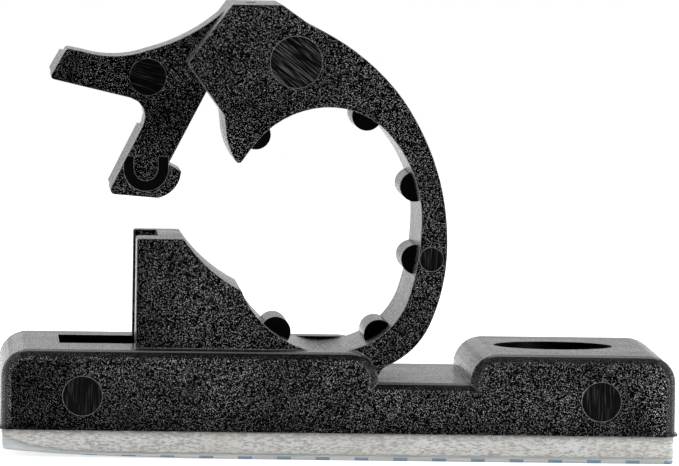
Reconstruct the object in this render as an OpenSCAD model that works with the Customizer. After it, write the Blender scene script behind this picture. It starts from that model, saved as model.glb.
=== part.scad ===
// Adhesive cable clip: a moulded base with a screw boss, a spring loop that opens at its left side,
// and a release lever whose hook snaps down into a slot in the base. Foam tape holds the base down.
// Millimetres. X runs along the base, the front faces -Y, and Z is up from the underside of the tape.

/* [Base] */
// Length of the base, end to end
base_len = 54.4; // [50:0.1:62]
// Depth of the base, the width of its tape
base_w = 25.4; // [24:0.2:32]
// Height of the long block and of the screw boss
block_h = 6.5; // [6:0.1:8]
// Length of the long block under the loop
block_len = 30.3; // [29:0.1:32]
// Length of the screw boss
boss_len = 16.65; // [15:0.05:18]
// Height of the thin bridge between the two
bridge_h = 4.15; // [3.2:0.05:5]
// Radius of the upper corners, seen from the front
corner_r = 2.3; // [1.6:0.1:3]
// Radius of the rolled edge round the front and back faces
roll_r = 1.1; // [0.5:0.1:1.4]
// Draft of the base's sides, in degrees, from the parting line
base_draft = 0.3; // [0:0.1:1.5]
// Height of the thin lip round the base's underside
lip_h = 0.2; // [0.1:0.05:0.5]
// How far the lip stands out past the base's sides
lip_out = 0.12; // [0.05:0.01:0.3]

/* [Tape] */
// Thickness of the foam tape
foam_t = 1.75; // [1:0.05:3]
// Thickness of the release liner
liner_t = 0.45; // [0.2:0.05:0.8]
// How far the foam stays inside the base's edge
foam_inset = 0.3; // [0:0.05:1]

/* [Screw hole] */
// Distance of the screw's axis from the base's right end
hole_edge = 9.2; // [8:0.05:10]
// Diameter of the bore for the screw
screw_d = 5; // [4:0.1:6]
// Diameter of the sunk seat for the screw's head
seat_d = 9.7; // [8:0.1:10.4]
// Depth of the seat's straight wall
seat_depth = 1.6; // [0.8:0.1:2.4]
// Extra diameter of the hole in the tape
tape_clear = 1; // [0.2:0.1:2]

/* [Loop] */
// Depth of the loop, post and head, front to back
clip_w = 17.7; // [16:0.1:18.4]
// How far their back face stays in front of the base's back
clip_back = 4.2; // [3:0.1:5]
// Inner width of the cable space
loop_w = 15.4; // [14:0.1:16.4]
// Inner height of the cable space
loop_h = 19.65; // [18:0.05:22]
// How far the cable space sinks into the top of the block
loop_sink = 0.27; // [0.1:0.01:0.6]
// Distance of the loop's centre from the block's right end
loop_edge = 4.35; // [4:0.05:5]
// Thickness of the spring arm at its waist
arm_t = 2.05; // [1.6:0.05:2.6]
// Radius of the grip nibs inside the loop
nib_r = 1.2; // [0.6:0.05:1.5]
// Length of the grip nibs
nib_len = 8.8; // [6:0.1:12]

/* [Head] */
// Height of the head above the top of the cable space
head_h = 8.15; // [7:0.05:10]
// Length of the head's flat top
head_top = 4; // [3:0.1:5]
// How far the head's left corner lies from the loop's centre
head_reach = 11.25; // [10.6:0.05:12]

/* [Post and lock] */
// Height of the post above the block
post_h = 8.7; // [7:0.05:10]
// Length of the post's flat top
post_top = 3.75; // [3:0.05:4.5]
// How far the hollow of the post's ramp lies below a straight line
ramp_bow = 0.4; // [0:0.05:0.8]
// Distance of the post's left face from the loop's centre
post_reach = 15.1; // [14.6:0.05:16]
// Width of the slot and channel that take the lever
lock_w = 10.15; // [8:0.05:11]
// Wall left behind the channel in the post
lock_wall = 2.1; // [1.2:0.1:3]
// Depth of the channel in the post's left face
channel_d = 1.85; // [1:0.05:2.5]
// Length of the slot in front of the post
slot_len = 6.05; // [5:0.05:7]
// How far the catch reaches past the channel, under the block's top
catch_reach = 1.3; // [0.6:0.1:2]
// Thickness of the ledge above the catch
catch_ledge = 2.4; // [1.6:0.1:3.5]

/* [Lever] */
// Clearance between the lever and each side of the slot
lever_clear = 0.35; // [0.1:0.05:0.8]
// Reach of the finger rest from the head's left corner
finger_len = 11.1; // [9:0.1:13]
// Thickness of the finger rest at its tip
finger_t = 2.55; // [2:0.05:3]
// Length of the leg below the head's left corner
leg_len = 11.1; // [9.5:0.05:12]
// How far the hook sticks out past the leg
hook_reach = 1.05; // [0.7:0.05:1.3]
// How much further out the leg's outer side lies at its back than at its front
leg_flare = 0.24; // [0:0.02:0.5]
// The same for the tip of the finger rest
tip_flare = 0.28; // [0:0.02:0.5]
// Radius of the fillet between the finger rest and the leg
finger_fillet = 1.55; // [0.8:0.05:2]

/* [Surface marks] */
// Depth of the ejector pin marks
mark_depth = 0.12; // [0.05:0.01:0.3]
// Diameter of the two marks on the base
base_mark_d = 3.15; // [2:0.05:4]
// Distance of the left mark from the base's left end
block_mark_edge = 6.6; // [4:0.05:9]
// Distance of the right mark from the base's right end
boss_mark_edge = 6.1; // [4:0.05:9]
// Diameter of the mark on the head
head_mark_d = 4.15; // [2.5:0.05:5]
// Diameter of the mark on the arm
arm_mark_d = 1.9; // [1:0.05:2]
// Diameter of the mark on the lever
lever_mark_d = 2.95; // [2:0.05:3.2]
// Width of the curved groove round the hook's end
groove_w = 0.8; // [0.3:0.05:1]
// Width of the gate's scar on top of the head
gate_w = 0.9; // [0.5:0.1:1.5]

/* [Hidden] */
$fn = 64;
arc_steps = 8;      // segments in each arc of an outline
corner_steps = 4;   // segments in each small rounded corner
roll_steps = 6;     // segments across the rolled edge
past = 1;           // how far a cut runs past the face that it starts from

black_nylon = [0.07, 0.07, 0.08];
pale_foam = [0.86, 0.85, 0.81];
clear_film = [0.80, 0.86, 0.92];

tape_t = foam_t + liner_t;
base_x0 = lip_out - base_len / 2;
base_x1 = base_len / 2 - lip_out;
base_y0 = lip_out - base_w / 2;
base_y1 = base_w / 2 - lip_out;
block_x1 = base_x0 + block_len;
boss_x0 = base_x1 - boss_len;

clip_y1 = base_y1 - clip_back;
clip_y0 = clip_y1 - clip_w;
lock_y1 = clip_y1 - lock_wall;
lock_y0 = lock_y1 - lock_w;
hole_x = base_x1 - hole_edge;

loop_x = block_x1 - loop_edge;
loop_z = block_h - loop_sink + loop_h / 2;
loop_top = loop_z + loop_h / 2;
post_x0 = loop_x - post_reach;
post_z = block_h + post_h;
channel_x1 = post_x0 + channel_d;

// Where the arm's outline starts, inside the block
root_in = 0.7;
root = [block_x1 - root_in, block_h / 2];

// The corner of the head that the lever hangs from, and how far up the head it lies
corner_share = 0.42;
head_corner = [loop_x - head_reach, loop_top + corner_share * head_h];

// A point on or near the loop's inner wall, in fractions of its half width and half height
function inner(fx, fz) = [loop_x + fx * loop_w / 2, loop_z + fz * loop_h / 2];

// A point on or near the loop's outer face, which lies the arm's thickness further out
function outer(fx, fz) = [loop_x + fx * (loop_w / 2 + arm_t), loop_z + fz * (loop_h / 2 + arm_t)];

// A point of the head, by its distance left of the loop's centre and a fraction of the head's height
function head(left, fz) = [loop_x - left, loop_top + fz * head_h];

// A point of the lever, from the head's corner
function lever(x, z) = head_corner + [x, z];

function unit(v) = v / norm(v);

// The centre of the circle through three points
function centre(a, b, c) =
    let (p = b - a, q = c - a, d = 2 * (p[0] * q[1] - p[1] * q[0]))
    a + [q[1] * (p * p) - p[1] * (q * q), p[0] * (q * q) - q[0] * (p * p)] / d;

// Points along the arc from a through b to c, without c itself
function arc(a, b, c, steps = arc_steps) =
    let (o = centre(a, b, c), r = norm(a - o),
         a0 = atan2(a[1] - o[1], a[0] - o[0]),
         side = (b[0] - a[0]) * (c[1] - a[1]) - (b[1] - a[1]) * (c[0] - a[0]),
         raw = atan2(c[1] - o[1], c[0] - o[0]) - a0,
         sweep = side < 0 ? -((360 - raw) % 360) : (360 + raw) % 360)
    [for (i = [0 : steps - 1]) o + r * [cos(a0 + sweep * i / steps), sin(a0 + sweep * i / steps)]];

// The middle of an arc that stands off the straight line from a to c by rise, to its left
function bow(a, c, rise) = (a + c) / 2 + rise * [a[1] - c[1], c[0] - a[0]] / norm(c - a);

// The corner at b, between a and c, rounded to radius r
function rounded(a, b, c, r) =
    let (u = unit(a - b), v = unit(c - b), half = acos(u * v) / 2, w = unit(u + v),
         o = b + w * r / sin(half), start = b + u * r / tan(half), end = b + v * r / tan(half))
    concat(arc(start, o - w * r, end, corner_steps), [end]);

// The loop's inner wall, from the nose of the head clockwise to the foot of the post
inner_wall = concat(
    arc(inner(-0.79, 0.654), inner(-0.468, 0.892), inner(-0.022, 1)),
    arc(inner(-0.022, 1), inner(0.358, 0.949), inner(0.695, 0.745)),
    arc(inner(0.695, 0.745), inner(0.896, 0.483), inner(0.996, 0.137)),
    arc(inner(0.996, 0.137), inner(0.974, -0.199), inner(0.892, -0.504)),
    arc(inner(0.892, -0.504), inner(0.714, -0.769), inner(0.422, -0.937)),
    arc(inner(0.422, -0.937), inner(0.162, -0.993), inner(-0.106, -0.993)),
    arc(inner(-0.106, -0.993), inner(-0.461, -0.881), inner(-0.825, -0.578)),
    [inner(-0.825, -0.578)]);

// The loop's outer face, from the notch over the bridge up to the shoulder of the head
outer_face = concat(
    [outer(0.483, -0.934)],
    arc(outer(0.526, -0.910), outer(0.725, -0.8), outer(0.868, -0.632)),
    arc(outer(0.868, -0.632), outer(0.956, -0.42), outer(1.002, -0.12)),
    arc(outer(1.002, -0.12), outer(0.988, 0.11), outer(0.933, 0.348)),
    arc(outer(0.933, 0.348), outer(0.812, 0.617), outer(0.624, 0.884)),
    [outer(0.624, 0.884)],
    arc(outer(0.558, 0.954), head(-2.2, 0.553), head(1.45, 0.806)),
    [head(1.45, 0.806)]);

// The head, from its flat top round the lever's corner to the tip of the nose
head_left = head(7.69, 1);
nose_corner = inner(-1.071, 0.923);
nose_r = 0.3;
nose_tip = inner(-0.925, 0.503);
head_outline = concat(
    [head_left + [head_top, 0], head_left],
    rounded(head_left, head_corner, nose_corner, 0.5),
    rounded(head_corner, nose_corner, inner(-1.033, 0.707), 0.8),
    arc(inner(-1.055, 0.83), inner(-1.033, 0.707), inner(-0.953, 0.56)),
    rounded(inner(-0.953, 0.56), nose_tip, inner(-0.79, 0.654), nose_r));

// The post, with its concave ramp down to the cable space
ramp_top = [post_x0 + post_top, post_z];
ramp_foot = inner(-0.867, -0.504);
post_corner_r = 0.2;
post_outline = concat(arc(ramp_top, bow(ramp_top, ramp_foot, -ramp_bow), ramp_foot), [ramp_foot]);
post_corner = rounded([post_x0, block_h], [post_x0, post_z], ramp_top, post_corner_r);

// Turns a list of points round, last to first
function reversed(list) = [for (i = [len(list) - 1 : -1 : 0]) list[i]];

// Stands a flat outline up, so that it fills from y0 back to y1
module upright(y0, y1) {
    translate([0, y1, 0]) rotate([90, 0, 0]) linear_extrude(y1 - y0) children();
}

// One ring of a base block: its front outline, drawn in by i on every side but the bottom
function ring(x0, x1, h, r, y, i) =
    concat([[x0 + i, y, 0]],
           [for (k = [0 : arc_steps]) let (t = 180 - 90 * k / arc_steps)
               [x0 + r + (r - i) * cos(t), y, h - r + (r - i) * sin(t)]],
           [for (k = [0 : arc_steps]) let (t = 90 - 90 * k / arc_steps)
               [x1 - r + (r - i) * cos(t), y, h - r + (r - i) * sin(t)]],
           [[x1 - i, y, 0]]);

// A block of the base: a loft from front to back, with drafted sides and rolled front and back edges
module base_block(x0, x1, h, r) {
    stations = concat(
        [for (k = [roll_steps : -1 : 0]) let (t = 90 * k / roll_steps)
            [base_y0 + roll_r * (1 - sin(t)), roll_r * (1 - cos(t))]],
        [[clip_y1, 0]],
        [for (k = [0 : roll_steps]) let (t = 90 * k / roll_steps)
            [base_y1 - roll_r * (1 - sin(t)), roll_r * (1 - cos(t))]]);
    rings = [for (s = stations)
        ring(x0, x1, h, r, s[0], s[1] + abs(s[0] - clip_y1) * tan(base_draft))];
    n = len(rings[0]);
    last = (len(rings) - 1) * n;
    polyhedron(
        points = [for (one = rings) for (p = one) p],
        faces = concat(
            [[for (k = [0 : n - 1]) k]],
            [[for (k = [n - 1 : -1 : 0]) last + k]],
            [for (j = [0 : n : last - n]) for (k = [0 : n - 1]) let (m = (k + 1) % n)
                [j + k, j + n + k, j + n + m, j + m]]));
}

// The thin lip that the mould leaves round the base's underside
module lip() {
    x = base_len / 2;
    y = base_w / 2;
    linear_extrude(lip_h) polygon(concat(
        rounded([-x, y], [-x, -y], [x, -y], roll_r), rounded([-x, -y], [x, -y], [x, y], roll_r),
        rounded([x, -y], [x, y], [-x, y], roll_r), rounded([x, y], [-x, y], [-x, -y], roll_r)));
}

// The long block, the bridge and the screw boss
module base() {
    overlap = corner_r + roll_r;
    lip();
    base_block(base_x0, block_x1, block_h, corner_r);
    base_block(block_x1 - overlap, boss_x0 + overlap, bridge_h, corner_r);
    base_block(boss_x0, base_x1, block_h, corner_r);
}

// The spring arm, the head and the post are one outline, run straight through from front to back
module loop_and_post() {
    upright(clip_y0, clip_y1)
        polygon(concat([root], outer_face, head_outline, inner_wall, reversed(post_outline),
                       reversed(post_corner), [[post_x0, root[1]]]));
}

// The half-round nibs that keep a bundle from turning
module nibs() {
    nib_y = (clip_y0 + clip_y1) / 2;
    for (p = [inner(-0.722, 0.755), inner(0.438, 0.921), inner(0.951, 0.344),
              inner(0.974, -0.254), inner(0.594, -0.875), inner(-0.484, -0.860)])
        translate([p[0], nib_y + nib_len / 2, p[1]]) rotate([90, 0, 0]) cylinder(h = nib_len, r = nib_r);
}

// The lever: a finger rest, and a leg that ends in the hook
leg_right = -1.31;      // the leg's right side at the catch
hook_bow = 0.42;        // how far the hook's round end bulges
tip_slope = [-0.54, -0.96];
tip_top = lever(1.5 - finger_len, 0.9);
tip_low = tip_top + finger_t * tip_slope;
finger_root = lever(-2.5, -3.47);
leg_foot = lever(-6.13, 0.3 - leg_len);
hook_start = lever(-2.1, -leg_len);
hook_end = lever(leg_right + hook_reach, 1.95 - leg_len);
catch_corner = lever(leg_right, 2.74 - leg_len);
tip_side = concat(rounded(lever(-8.3, 0.65), tip_top, tip_low, 0.3),
                  rounded(tip_top, tip_low, finger_root, 0.25));
leg_side = concat(rounded(tip_low, finger_root, leg_foot, finger_fillet),
                  rounded(finger_root, leg_foot, hook_start, 0.35));
lever_outline = concat(
    tip_side, leg_side,
    arc(hook_start, bow(hook_start, hook_end, -hook_bow), hook_end),
    rounded(hook_end, hook_end + [0.02, 0.25], catch_corner, 0.08),
    [catch_corner, lever(1.52, -2.82), lever(2.6, -0.7), lever(4.4, 3.9)],
    reversed(concat(arc(lever(-8.3, 0.65), lever(-5.9, 0.3), lever(-3, 0.82)),
                    arc(lever(-3, 0.82), lever(0.3, 2.13), lever(3.3, 4.3)),
                    [lever(3.3, 4.3)])));
lever_y0 = lock_y0 + lever_clear;
lever_y1 = lock_y1 - lever_clear;

// A sliver along the lever's side from a to b, nothing at the front and as thick as the flare at the back
module flare(a, b, thick) {
    along = unit(b - a);
    out = [along[1], -along[0]];
    deep = 0.5;
    near = [a - deep * out, b - deep * out, b, a];
    far = [a - deep * out, b - deep * out, b + thick * (out - along), a + thick * (out + along)];
    polyhedron(
        points = concat([for (p = near) [p[0], lever_y0, p[1]]], [for (p = far) [p[0], lever_y1, p[1]]]),
        faces = [[0, 1, 2, 3], [7, 6, 5, 4], [0, 4, 5, 1], [1, 5, 6, 2], [2, 6, 7, 3], [3, 7, 4, 0]]);
}

// The lever, whose outer sides lean out towards the back
module lever_arm() {
    steps = corner_steps + 1;
    upright(lever_y0, lever_y1) polygon(lever_outline);
    flare(tip_side[steps - 1], tip_side[steps], tip_flare);
    flare(leg_side[steps - 1], leg_side[steps], leg_flare);
}

// The slot in the base, the channel up the post and the catch under the block's top
module lock_space() {
    slot_x0 = post_x0 - slot_len;
    slot_x1 = channel_x1 + catch_reach;
    upright(lock_y0, lock_y1) {
        translate([slot_x0, -past]) square([channel_x1 - slot_x0, post_z + 2 * past]);
        translate([slot_x0, -past]) square([slot_x1 - slot_x0, block_h - catch_ledge + past]);
    }
}

// The bore for a screw, with a cone and a straight seat for its head
module screw_hole() {
    cone_h = (seat_d - screw_d) / 2;
    translate([hole_x, 0, 0]) {
        translate([0, 0, -past]) cylinder(h = block_h + 2 * past, d = screw_d);
        translate([0, 0, block_h - seat_depth]) cylinder(h = seat_depth + past, d = seat_d);
        translate([0, 0, block_h - seat_depth - cone_h]) cylinder(h = cone_h, d1 = screw_d, d2 = seat_d);
    }
}

// The shallow mark that an ejector pin leaves on a front face at y
module pin_mark(p, y, d) {
    translate([p[0], y - past, p[1]]) rotate([-90, 0, 0]) cylinder(h = past + mark_depth, d = d);
}

module pin_marks() {
    mark_z = 0.42 * block_h;
    pin_mark([base_x0 + block_mark_edge, mark_z], base_y0, base_mark_d);
    pin_mark([base_x1 - boss_mark_edge, mark_z], base_y0, base_mark_d);
    pin_mark(head(2.55, 0.44), clip_y0, head_mark_d);
    pin_mark((inner(0.97, -0.23) + outer(0.98, -0.19)) / 2, clip_y0, arm_mark_d);
    pin_mark(lever(-3.04, -1.34), lever_y0, lever_mark_d);
}

// The groove round the end of the hook, open at the top
module hook_groove() {
    o = lever(-3.09, 2.36 - leg_len);
    r = 1;
    upright(lever_y0 - past, lever_y0 + mark_depth) translate(o) difference() {
        union() {
            circle(r = r + groove_w);
            translate([-r - groove_w, 0]) square([2 * (r + groove_w), r]);
        }
        circle(r = r);
        translate([-r, 0]) square([2 * r, r + groove_w + past]);
        translate([-r - groove_w - past, r]) square([2 * (r + groove_w + past), groove_w + past]);
    }
}

// The scar of the mould's gate on top of the head
module gate_scar() {
    scar_len = 3;
    translate([loop_x - 6 - gate_w / 2, (clip_y0 + clip_y1 - scar_len) / 2, loop_top + head_h - mark_depth])
        cube([gate_w, scar_len, mark_depth + past]);
}

module clip_body() {
    color(black_nylon) translate([0, 0, tape_t]) difference() {
        union() {
            difference() {
                base();
                upright(clip_y0, clip_y1) polygon(inner_wall);
            }
            loop_and_post();
            nibs();
            lever_arm();
        }
        lock_space();
        screw_hole();
        pin_marks();
        hook_groove();
        gate_scar();
    }
}

// A flat layer of the tape, with the screw's hole through it
module tape_layer(z, t, inset) {
    difference() {
        translate([inset - base_len / 2, inset - base_w / 2, z])
            cube([base_len - 2 * inset, base_w - 2 * inset, t]);
        translate([hole_x, 0, z - past]) cylinder(h = t + 2 * past, d = screw_d + tape_clear);
    }
}

module foam_pad() {
    color(pale_foam) tape_layer(liner_t, foam_t, foam_inset);
}

module release_liner() {
    color(clear_film) tape_layer(0, liner_t, foam_inset);
}

clip_body();
foam_pad();
release_liner();
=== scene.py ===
import math

import bmesh
import bpy
from mathutils import Matrix, Vector, geometry, noise

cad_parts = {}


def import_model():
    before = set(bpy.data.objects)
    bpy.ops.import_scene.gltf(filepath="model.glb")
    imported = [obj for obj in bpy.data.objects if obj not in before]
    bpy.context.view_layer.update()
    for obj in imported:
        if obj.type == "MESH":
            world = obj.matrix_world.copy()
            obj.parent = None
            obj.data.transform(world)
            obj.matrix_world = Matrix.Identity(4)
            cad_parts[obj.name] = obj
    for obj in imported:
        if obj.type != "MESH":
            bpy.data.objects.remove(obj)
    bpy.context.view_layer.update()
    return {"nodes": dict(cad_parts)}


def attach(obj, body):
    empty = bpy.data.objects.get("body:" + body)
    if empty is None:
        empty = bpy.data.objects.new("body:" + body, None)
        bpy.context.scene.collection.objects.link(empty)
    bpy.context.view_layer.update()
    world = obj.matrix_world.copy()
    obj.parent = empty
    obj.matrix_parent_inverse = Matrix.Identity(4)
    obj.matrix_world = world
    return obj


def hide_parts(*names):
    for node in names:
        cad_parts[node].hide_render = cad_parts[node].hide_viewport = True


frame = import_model()
MM = 0.001

# The photograph's view, worked out from its vanishing point and from the base's length.
IMAGE_W = 679
SENSOR_MM = 36.0
PX_PER_MM = 12.55         # scale at the plane of the base's front face
CAMERA = Vector((-29.68, -681.7, 49.9)) * MM
AIM = Vector((-0.18, -12.7, 18.2)) * MM
ROLL = math.radians(0.84)

# Ejector pin marks on the front faces, in mm: centre x, centre z, radius, turn of the tool lines, and their paleness,
# which is a painted sheen.
PIN_MARKS = [
    (-20.48, 4.93, 1.575, 0.0, 0.05),
    (20.98, 4.93, 1.575, 0.0, 0.05),
    (-3.68, 31.67, 2.075, 0.9, 0.15),
    (-15.42, 30.16, 1.475, 1.3, 0.05),
    (7.38, 16.0, 0.95, 0.0, 0.05),
]
HOLE = (17.88, 0.0, 3.0)  # mm, the screw hole's centre, and its radius through the tape
HOLE_WALL = 4.9           # mm, what lies nearer to the hole's axis is its wall
SLOT = ((-22.4, -4.0, 0.0), (-14.2, 6.4, 8.65))
SMOOTH_Y = (-3.40, -4.87, 3.93)   # mm, the floor of the hook's groove and the ends of the nibs
BASE_TOP = 9.8            # mm, everything of the base lies below it
EDGE_RADIUS = 0.12        # mm, the moulding's sharp edges
PARTING_Y = 8.2           # mm, the mould's back half starts here

FOAM_ROWS = 20
FOAM_PITCH = 0.2          # mm between stations round the foam's edge
FOAM_RELIEF = 0.06        # mm that the cut cells go in
LIFT_FOAM = (1.45, 2.45)  # mm of lift at the left end, mm over which it fades
LIFT_FILM = (0.64, 6.3)


def camera():
    cam = bpy.data.cameras.new("camera")
    obj = bpy.data.objects.new("camera", cam)
    bpy.context.scene.collection.objects.link(obj)
    look = AIM - CAMERA
    focal_px = PX_PER_MM * look.length / MM
    cam.sensor_width = SENSOR_MM
    cam.lens = SENSOR_MM * focal_px / IMAGE_W
    cam.clip_start = 0.05
    cam.clip_end = 20
    turn = look.to_track_quat("-Z", "Y").to_matrix().to_4x4()
    obj.matrix_world = Matrix.Translation(CAMERA) @ turn @ Matrix.Rotation(ROLL, 4, "Z")
    bpy.context.scene.camera = obj


def rgba(r, g, b):
    return (r, g, b, 1.0)


class Nodes:
    """A material's node tree, with short calls to add nodes and join them."""

    def __init__(self, name):
        self.material = bpy.data.materials.new(name)
        self.material.use_nodes = True
        self.tree = self.material.node_tree
        self.tree.nodes.clear()
        self.shader = self.tree.nodes.new("ShaderNodeBsdfPrincipled")
        self.out = self.tree.nodes.new("ShaderNodeOutputMaterial")
        self.tree.links.new(self.shader.outputs[0], self.out.inputs[0])
        coords = self.tree.nodes.new("ShaderNodeTexCoord")
        self.where = coords.outputs["Object"]
        self.normal = coords.outputs["Normal"]

    def add(self, kind, **values):
        node = self.tree.nodes.new(kind)
        for key, value in values.items():
            setattr(node, key, value)
        return node

    def put(self, node, **sockets):
        for key, value in sockets.items():
            self.set(node.inputs[key.replace("_", " ")], value)
        return node

    def set(self, target, value):
        if isinstance(value, bpy.types.NodeSocket):
            self.tree.links.new(value, target)
        else:
            target.default_value = value

    def math(self, operation, *values):
        node = self.add("ShaderNodeMath", operation=operation)
        for target, value in zip(node.inputs, values):
            self.set(target, value)
        return node.outputs[0]

    def blend(self, factor, a, b):
        node = self.add("ShaderNodeMix", data_type="FLOAT")
        for i, value in zip((0, 2, 3), (factor, a, b)):
            self.set(node.inputs[i], value)
        return node.outputs[0]

    def tint(self, factor, a, b):
        node = self.add("ShaderNodeMix", data_type="RGBA")
        for i, value in zip((0, 6, 7), (factor, a, b)):
            self.set(node.inputs[i], value)
        return node.outputs[2]

    def ramp(self, value, low, high, to_low=0.0, to_high=1.0):
        node = self.put(self.add("ShaderNodeMapRange", interpolation_type="SMOOTHSTEP"), Value=value)
        for name, number in (("From Min", low), ("From Max", high), ("To Min", to_low), ("To Max", to_high)):
            node.inputs[name].default_value = number
        return node.outputs[0]

    def mapped(self, scale, turn=0.0):
        turned = self.put(self.add("ShaderNodeMapping"), Vector=self.where, Rotation=(0, turn, 0))
        return self.put(self.add("ShaderNodeMapping"), Vector=turned.outputs[0], Scale=scale).outputs[0]

    def noise(self, scale, vector=None, detail=2.0, rough=0.5):
        node = self.add("ShaderNodeTexNoise")
        return self.put(node, Vector=vector or self.where, Scale=scale, Detail=detail, Roughness=rough).outputs["Fac"]

    def cells(self, scale, vector=None):
        node = self.add("ShaderNodeTexVoronoi", feature="F1")
        return self.put(node, Vector=vector or self.where, Scale=scale).outputs["Distance"]

    def axis(self, name):
        return self.put(self.add("ShaderNodeSeparateXYZ"), Vector=self.where).outputs[name]

    def bump(self, height, distance, strength=1.0, normal=None):
        node = self.put(self.add("ShaderNodeBump"), Strength=strength, Distance=distance, Height=height)
        if normal:
            self.set(node.inputs["Normal"], normal)
        return node.outputs[0]


def spark_nylon(name, level, left=1.0, right=1.0):
    """Black nylon from a spark-eroded mould: fine grain on the flat faces whose bright cells are painted glints, and
    pale edges that are painted highlights.
    """
    n = Nodes(name)
    # the cells follow the mould's spark-eroded grain; their brightness in the colour is painted glints
    grain = n.put(n.add("ShaderNodeTexVoronoi", feature="F1"), Vector=n.where, Scale=24000.0).outputs["Color"]
    grain = n.put(n.add("ShaderNodeSeparateXYZ"), Vector=grain).outputs["X"]
    rounded = n.put(n.add("ShaderNodeBevel", samples=6), Radius=EDGE_RADIUS * MM).outputs[0]
    turned = n.put(n.add("ShaderNodeVectorMath", operation="DOT_PRODUCT"))
    n.set(turned.inputs[0], rounded)
    n.set(turned.inputs[1], n.add("ShaderNodeNewGeometry").outputs["Normal"])
    # painted highlight: a pale line along the sharp edges where the rounded normal turns away, none near the foot
    # below 2.5 mm
    edge = n.ramp(turned.outputs["Value"], 0.98, 0.86, 0.0, 0.5)
    edge = n.math("MULTIPLY", edge, n.ramp(n.axis("Z"), 2.5 * MM, 3.5 * MM))
    facing = n.put(n.add("ShaderNodeSeparateXYZ"), Vector=n.normal).outputs
    # painted shade: the glints are kept to faces that look to the front, back or sides, so rolled edges and tops get
    # only a little of them
    front = n.ramp(n.math("ABSOLUTE", facing["Y"]), 0.75, 0.95)
    side = n.ramp(n.math("ABSOLUTE", facing["X"]), 0.55, 1.0)
    flat = n.math("MULTIPLY_ADD", n.math("MAXIMUM", front, side), 0.92, 0.08)
    # painted shade: fainter glints near the foot, below 4.6 mm
    flat = n.math("MULTIPLY", flat, n.ramp(n.axis("Z"), 2.3 * MM, 4.6 * MM, 0.6, 1.0))
    # painted shade toward the left end and painted highlight at the right end, by the left and right factors
    flat = n.math("MULTIPLY", flat, n.ramp(n.axis("X"), -26.5 * MM, -17.0 * MM, left, 1.0))
    flat = n.math("MULTIPLY", flat, n.ramp(n.axis("X"), 24.2 * MM, 26.0 * MM, 1.0, right))
    # painted highlight: a pale line on faces that tilt just short of level, below the base's top
    painted_ridge_highlight = n.math("MULTIPLY", n.ramp(facing["Z"], 0.8, 0.9), n.ramp(facing["Z"], 0.99, 0.95))
    painted_ridge_highlight = n.math("MULTIPLY", painted_ridge_highlight, n.ramp(n.axis("Z"), BASE_TOP * MM, (BASE_TOP + 0.1) * MM, 0.16, 0.0))
    back = n.ramp(n.axis("Y"), (PARTING_Y - 0.1) * MM, (PARTING_Y + 0.1) * MM)
    flow = n.noise(160.0, detail=3.0)
    rough = n.math("ADD", n.ramp(flow, 0.3, 0.7, 0.14, 0.2), n.math("MULTIPLY", back, 0.1))
    # painted glints: bright grain cells, patchy by the flow noise; below, the painted edge and ridge highlights join
    # them
    painted_highlight = n.math("MULTIPLY", n.ramp(grain, 0.84, 0.98), n.ramp(flow, 0.3, 0.7, 0.5, 1.0))
    painted_highlight = n.math("MAXIMUM", n.math("MULTIPLY", painted_highlight, flat), n.math("MAXIMUM", edge, painted_ridge_highlight))
    colour = n.tint(painted_highlight, rgba(0.0, 0.0, 0.0), rgba(0.85, 0.85, 0.85))
    bumps = n.bump(n.noise(9500.0, detail=0.0), 0.1 * MM, n.blend(back, 1.0, 0.3), rounded)
    n.put(n.shader, Base_Color=colour, Roughness=rough, Normal=bumps)
    n.shader.inputs["Specular IOR Level"].default_value = level
    return n.material


def pin_nylon(turn, pale):
    """The flat end of an ejector pin, printed in the plastic with its tool lines."""
    n = Nodes("black_nylon_pin")
    lines = n.noise(1.0, n.mapped((9000.0, 9000.0, 420.0), turn), detail=3.0, rough=0.6)
    rough = n.ramp(lines, 0.3, 0.7, 0.34, 0.5)
    # the tool lines are real; their paleness in the colour is a painted sheen
    shade = n.tint(n.ramp(lines, 0.48, 0.72), rgba(0.001, 0.001, 0.001), rgba(pale, pale, pale))
    n.put(n.shader, Base_Color=shade, Roughness=rough, Normal=n.bump(lines, 0.02 * MM, 0.7))
    n.shader.inputs["Specular IOR Level"].default_value = 0.06
    return n.material


def smooth_nylon():
    """The same nylon where a smooth core formed it: in the holes, the hook's groove and the nibs' ends."""
    n = Nodes("black_nylon_smooth")
    haze = n.noise(1200.0, detail=3.0)
    n.put(n.shader, Base_Color=rgba(0.001, 0.001, 0.001), Roughness=n.ramp(haze, 0.3, 0.7, 0.35, 0.5),
          Normal=n.bump(haze, 0.02 * MM, 0.5))
    n.shader.inputs["Specular IOR Level"].default_value = 0.06
    return n.material


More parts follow.
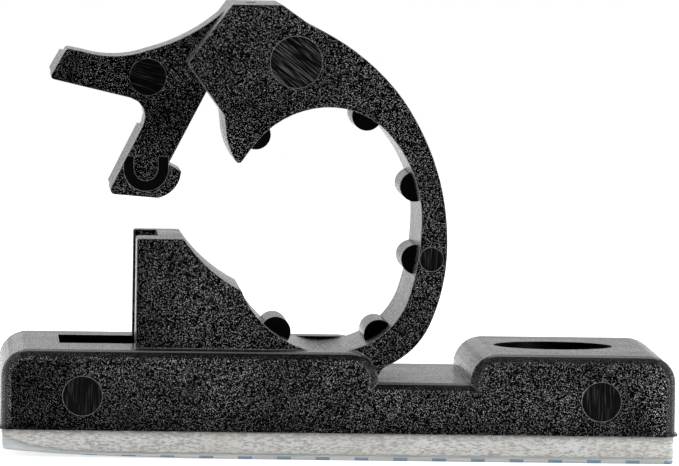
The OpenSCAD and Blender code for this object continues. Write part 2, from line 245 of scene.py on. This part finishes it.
def foam_tape():
    """Cut edge of a closed-cell foam tape: pale squashed cells in short level streaks."""
    n = Nodes("foam_tape")
    streak = n.noise(1.0, n.mapped((2400.0, 2400.0, 9000.0)), detail=4.0, rough=0.7)
    cells = n.cells(1.0, n.mapped((2400.0, 2400.0, 7000.0)))
    patch = n.noise(240.0, detail=2.0)
    height = n.math("ADD", streak, n.math("MULTIPLY", cells, 0.45))
    pale = n.tint(n.ramp(streak, 0.38, 0.56), rgba(0.5, 0.49, 0.465), rgba(0.98, 0.975, 0.95))
    warm = n.tint(n.ramp(patch, 0.4, 0.65), pale, rgba(0.80, 0.77, 0.71))
    glue = n.ramp(n.axis("Z"), 0.45 * MM, 0.62 * MM, 0.75, 0.0)
    # painted shade: darker streaks at the foam's top, right under the clip's base
    painted_shade_under_clip = n.math("MULTIPLY", n.ramp(n.axis("Z"), 1.5 * MM, 2.2 * MM), n.ramp(streak, 0.7, 0.4, 0.35, 1.0))
    body = n.tint(painted_shade_under_clip, n.tint(0.3, pale, warm), rgba(0.42, 0.40, 0.375))
    colour = n.tint(glue, body, rgba(0.56, 0.565, 0.47))
    n.put(n.shader, Base_Color=colour, Roughness=0.82, Normal=n.bump(height, 0.08 * MM, 0.8))
    n.shader.inputs["Subsurface Weight"].default_value = 0.25
    n.shader.inputs["Subsurface Radius"].default_value = (1.0, 0.95, 0.85)
    n.shader.inputs["Subsurface Scale"].default_value = 0.8 * MM
    return n.material


def liner_film():
    """Milky release film with faint drawn lines, and plain blue bars printed on its underside."""
    n = Nodes("liner_film")
    drawn = n.noise(1.0, n.mapped((260.0, 260.0, 5200.0)), detail=3.0)
    x = n.math("ADD", n.axis("X"), 1.0)
    bar = n.math("LESS_THAN", n.math("FRACT", n.math("MULTIPLY", x, 1 / (3.1 * MM))), 0.36)
    row = n.math("LESS_THAN", n.math("FRACT", n.math("MULTIPLY", n.math("ADD", n.axis("Y"), 12.7 * MM),
                                                     1 / (6.0 * MM))), 0.2)
    low = n.ramp(n.axis("Z"), 0.24 * MM, 0.3 * MM, 1.0, 0.0)
    ink = n.math("MULTIPLY", n.math("MULTIPLY", bar, row), low)
    milk = n.tint(n.ramp(drawn, 0.35, 0.65), rgba(0.66, 0.70, 0.71), rgba(0.84, 0.865, 0.87))
    colour = n.tint(n.math("MULTIPLY", ink, 0.85), milk, rgba(0.19, 0.33, 0.46))
    n.put(n.shader, Base_Color=colour, Roughness=0.28, Normal=n.bump(drawn, 0.03 * MM, 0.6))
    n.shader.inputs["Subsurface Weight"].default_value = 0.35
    n.shader.inputs["Subsurface Radius"].default_value = (1.0, 1.0, 1.1)
    n.shader.inputs["Subsurface Scale"].default_value = 0.6 * MM
    return n.material


def dress_body():
    body = frame["nodes"]["clip_body"]
    mesh = body.data
    mesh.materials.clear()
    mesh.materials.append(spark_nylon("black_nylon", 0.08))
    mesh.materials.append(smooth_nylon())
    # front faces: painted shade fades the glints toward the left end (0.3), a painted highlight raises them at the
    # right end (2.3)
    mesh.materials.append(spark_nylon("black_nylon_front", 0.01, 0.3, 2.3))
    mesh.materials.append(spark_nylon("black_nylon_end", 0.3))
    lines = sorted({mark[3:] for mark in PIN_MARKS})
    for turn, pale in lines:
        mesh.materials.append(pin_nylon(turn, pale))
    for face in mesh.polygons:
        spot = face.center / MM
        in_hole = math.hypot(spot.x - HOLE[0], spot.y - HOLE[1]) < HOLE_WALL and face.normal.z < 0.9
        in_slot = all(SLOT[0][i] < spot[i] < SLOT[1][i] for i in range(3))
        end = abs(face.normal.y) > 0.9 and any(abs(spot.y - y) < 0.03 for y in SMOOTH_Y)
        if in_hole or in_slot or end:
            face.material_index = 1
        elif face.normal.y < -0.98:
            face.material_index = 2
        elif spot.z < BASE_TOP and abs(face.normal.x) > 0.2 and face.normal.z < 0.7:
            face.material_index = 3
        for x, z, radius, *line in PIN_MARKS:
            if face.normal.y < -0.9 and math.hypot(spot.x - x, spot.z - z) < radius:
                face.material_index = 4 + lines.index(tuple(line))


def lift(x, left, amount):
    return amount[0] * math.exp(-(x - left) / amount[1])


def outline(box, inset, corner, pitch):
    """Stations round a rounded rectangle, in mm, with the outward direction at each."""
    (x0, y0), (x1, y1) = box
    x0, y0, x1, y1 = x0 + inset, y0 + inset, x1 - inset, y1 - inset
    stations = []
    turns = ((x1 - corner, y0 + corner, -90), (x1 - corner, y1 - corner, 0),
             (x0 + corner, y1 - corner, 90), (x0 + corner, y0 + corner, 180))
    ends = []
    for cx, cy, start in turns:
        arc = []
        for k in range(7):
            a = math.radians(start + 15 * k)
            out = Vector((math.cos(a), math.sin(a)))
            arc.append((Vector((cx, cy)) + corner * out, out))
        ends.append(arc)
    for i, arc in enumerate(ends):
        stations += arc
        here, out = arc[-1]
        there = ends[(i + 1) % 4][0][0]
        count = int((there - here).length / pitch)
        stations += [(here.lerp(there, k / count), out) for k in range(1, count)]
    return stations


def strip_solid(name, stations, rows, place, hole, top_z, bottom_z, material):
    """A tape-like solid: a detailed edge all round, level faces and a round hole. Everything is in mm."""
    bm = bmesh.new()
    rings = [[bm.verts.new(place(p, out, r / rows)) for p, out in stations] for r in range(rows + 1)]
    for low, high in zip(rings, rings[1:]):
        for i in range(len(low)):
            j = (i + 1) % len(low)
            bm.faces.new((low[i], low[j], high[j], high[i]))
    hx, hy, radius = hole
    circle = [Vector((hx + radius * math.cos(math.tau * k / 48), hy + radius * math.sin(math.tau * k / 48)))
              for k in range(48)]
    walls = []
    for ring, height, flip in ((rings[0], bottom_z, True), (rings[-1], top_z, False)):
        edge = [Vector((v.co.x, v.co.y)) for v in ring]
        inner = [bm.verts.new((c.x, c.y, height(c.x))) for c in circle]
        xs = [v.x for v in edge]
        ys = [v.y for v in edge]
        grid = [Vector((x, y)) for x in span(min(xs) + 0.7, max(xs) - 0.7, 1.1)
                for y in span(min(ys) + 0.7, max(ys) - 0.7, 1.1) if (Vector((x, y)) - Vector((hx, hy))).length > radius + 0.4]
        verts = list(ring) + inner + [bm.verts.new((g.x, g.y, height(g.x))) for g in grid]
        points = edge + circle + grid
        m, k = len(edge), len(circle)
        rims = [(i, (i + 1) % m) for i in range(m)] + [(m + i, m + (i + 1) % k) for i in range(k)]
        found = geometry.delaunay_2d_cdt(points, rims, [], 0, 1e-6)
        for tri in found[2]:
            ids = [found[3][i][0] for i in tri]
            centre = sum((points[i] for i in ids), Vector((0, 0))) / 3
            if (centre - Vector((hx, hy))).length < radius * 0.998 or len(set(ids)) < 3:
                continue
            if all(i < m for i in ids) and not inside(centre, edge):
                continue
            bm.faces.new([verts[i] for i in (reversed(ids) if flip else ids)])
        walls.append(inner)
    for i in range(48):
        j = (i + 1) % 48
        bm.faces.new((walls[0][j], walls[0][i], walls[1][i], walls[1][j]))
    for v in bm.verts:
        v.co *= MM
    mesh = bpy.data.meshes.new(name)
    bm.to_mesh(mesh)
    bm.free()
    mesh.materials.append(material)
    mesh.polygons.foreach_set("use_smooth", [abs(p.normal.z) < 0.5 for p in mesh.polygons])
    obj = bpy.data.objects.new(name, mesh)
    bpy.context.scene.collection.objects.link(obj)
    return obj


def span(start, end, step):
    count = max(1, round((end - start) / step))
    return [start + (end - start) * k / count for k in range(count + 1)]


def inside(point, ring):
    hit = False
    for a, b in zip(ring, ring[1:] + ring[:1]):
        if (a.y > point.y) != (b.y > point.y) and point.x < (b.x - a.x) * (point.y - a.y) / (b.y - a.y) + a.x:
            hit = not hit
    return hit


def node_box(name):
    corners = [Vector(c) / MM for c in frame["nodes"][name].bound_box]
    low = [min(c[i] for c in corners) for i in range(3)]
    high = [max(c[i] for c in corners) for i in range(3)]
    return low, high


def tape(hole):
    low, high = node_box("foam_pad")
    left, floor, top = low[0], low[2], high[2]

    def foot(x):
        return floor + lift(x, left, LIFT_FOAM)

    def cut_edge(p, out, share):
        bottom = foot(p.x)
        z = bottom + (top - bottom) * share
        cell = noise.fractal(Vector((p.x * 1.5, p.y * 1.5, z * 7.0)), 0.9, 2.0, 3)
        slack = 0.5 + 0.5 * noise.noise(Vector((p.x * 0.22, p.y * 0.22, 3.0)))
        depth = FOAM_RELIEF * (0.5 + 0.5 * max(-1.0, min(1.0, 1.6 * cell))) + 0.05 * slack * math.sin(math.pi * share)
        return (p.x - out.x * depth, p.y - out.y * depth, z)

    foam = strip_solid("foam_tape", outline((low[:2], high[:2]), 0.0, 0.5, FOAM_PITCH), FOAM_ROWS, cut_edge, hole,
                       lambda x: top, foot, foam_tape())
    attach(foam, "root")
    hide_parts("foam_pad")

    low, high = node_box("release_liner")

    def base(x):
        return low[2] + lift(x, left, LIFT_FILM)

    def film_edge(p, out, share):
        bottom, above = base(p.x), foot(p.x)
        wave = 0.05 + 0.05 * noise.noise(Vector((p.x * 0.35, p.y * 0.35, 7.0)))
        bulge = wave + 0.10 * abs(2.0 * share - 1.0) ** 2
        return (p.x - out.x * bulge, p.y - out.y * bulge, bottom + (above - bottom) * share)

    film = strip_solid("release_film", outline((low[:2], high[:2]), 0.0, 0.6, 0.4), 5, film_edge, hole,
                       foot, base, liner_film())
    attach(film, "root")
    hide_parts("release_liner")


def world():
    """White for the camera; for reflections bright behind the clip and dark on the camera's side."""
    scene_world = bpy.data.worlds.new("studio")
    bpy.context.scene.world = scene_world
    scene_world.use_nodes = True
    tree = scene_world.node_tree
    tree.nodes.clear()
    out = tree.nodes.new("ShaderNodeOutputWorld")
    seen = tree.nodes.new("ShaderNodeBackground")
    room = tree.nodes.new("ShaderNodeBackground")
    mix = tree.nodes.new("ShaderNodeMixShader")
    path = tree.nodes.new("ShaderNodeLightPath")
    coords = tree.nodes.new("ShaderNodeTexCoord")
    split = tree.nodes.new("ShaderNodeSeparateXYZ")
    shade = tree.nodes.new("ShaderNodeMapRange")
    shade.interpolation_type = "SMOOTHSTEP"
    for name, number in (("From Min", -0.1), ("From Max", 0.6), ("To Min", 0.03), ("To Max", 1.0)):
        shade.inputs[name].default_value = number
    seen.inputs["Strength"].default_value = 1.0
    seen.inputs["Color"].default_value = room.inputs["Color"].default_value = rgba(1, 1, 1)
    tree.links.new(coords.outputs["Generated"], split.inputs[0])
    tree.links.new(split.outputs["Y"], shade.inputs["Value"])
    tree.links.new(shade.outputs[0], room.inputs["Strength"])
    tree.links.new(path.outputs["Is Camera Ray"], mix.inputs[0])
    tree.links.new(room.outputs[0], mix.inputs[1])
    tree.links.new(seen.outputs[0], mix.inputs[2])
    tree.links.new(mix.outputs[0], out.inputs[0])


def floor():
    n = Nodes("stage_white")
    n.put(n.shader, Base_Color=rgba(0.86, 0.86, 0.86), Roughness=0.9)
    n.shader.inputs["Specular IOR Level"].default_value = 0.0
    path = n.add("ShaderNodeLightPath")
    seen = n.math("MAXIMUM", path.outputs["Is Camera Ray"], path.outputs["Is Transmission Ray"])
    glow = n.math("MULTIPLY", n.math("MAXIMUM", seen, path.outputs["Is Glossy Ray"]), 0.72)
    n.put(n.shader, Emission_Color=rgba(1, 1, 1), Emission_Strength=glow)
    size = 0.6
    mesh = bpy.data.meshes.new("floor")
    front = -0.12
    mesh.from_pydata([(-size, front, 0), (size, front, 0), (size, size, 0), (-size, size, 0)], [], [(0, 1, 2, 3)])
    mesh.materials.append(n.material)
    obj = bpy.data.objects.new("floor", mesh)
    bpy.context.scene.collection.objects.link(obj)


def area_lamp(name, place, size, radiance):
    lamp = bpy.data.lights.new(name, "AREA")
    lamp.shape = "RECTANGLE"
    lamp.size, lamp.size_y = size
    lamp.energy = radiance * math.pi * size[0] * size[1]
    obj = bpy.data.objects.new(name, lamp)
    obj.location = place
    target = Vector((0, 0, 18 * MM))
    obj.rotation_euler = (target - Vector(place)).to_track_quat("-Z", "Y").to_euler()
    bpy.context.scene.collection.objects.link(obj)


camera()
dress_body()
tape(HOLE)
world()
floor()
area_lamp("right", (0.46, -0.386, 0.16), (0.18, 0.24), 14.2)
area_lamp("left", (-0.56, -0.12, 0.14), (0.10, 0.24), 9.0)
area_lamp("top", (0.0, 0.05, 0.55), (0.50, 0.36), 3.6)
bpy.context.scene.view_settings.view_transform = "Standard"
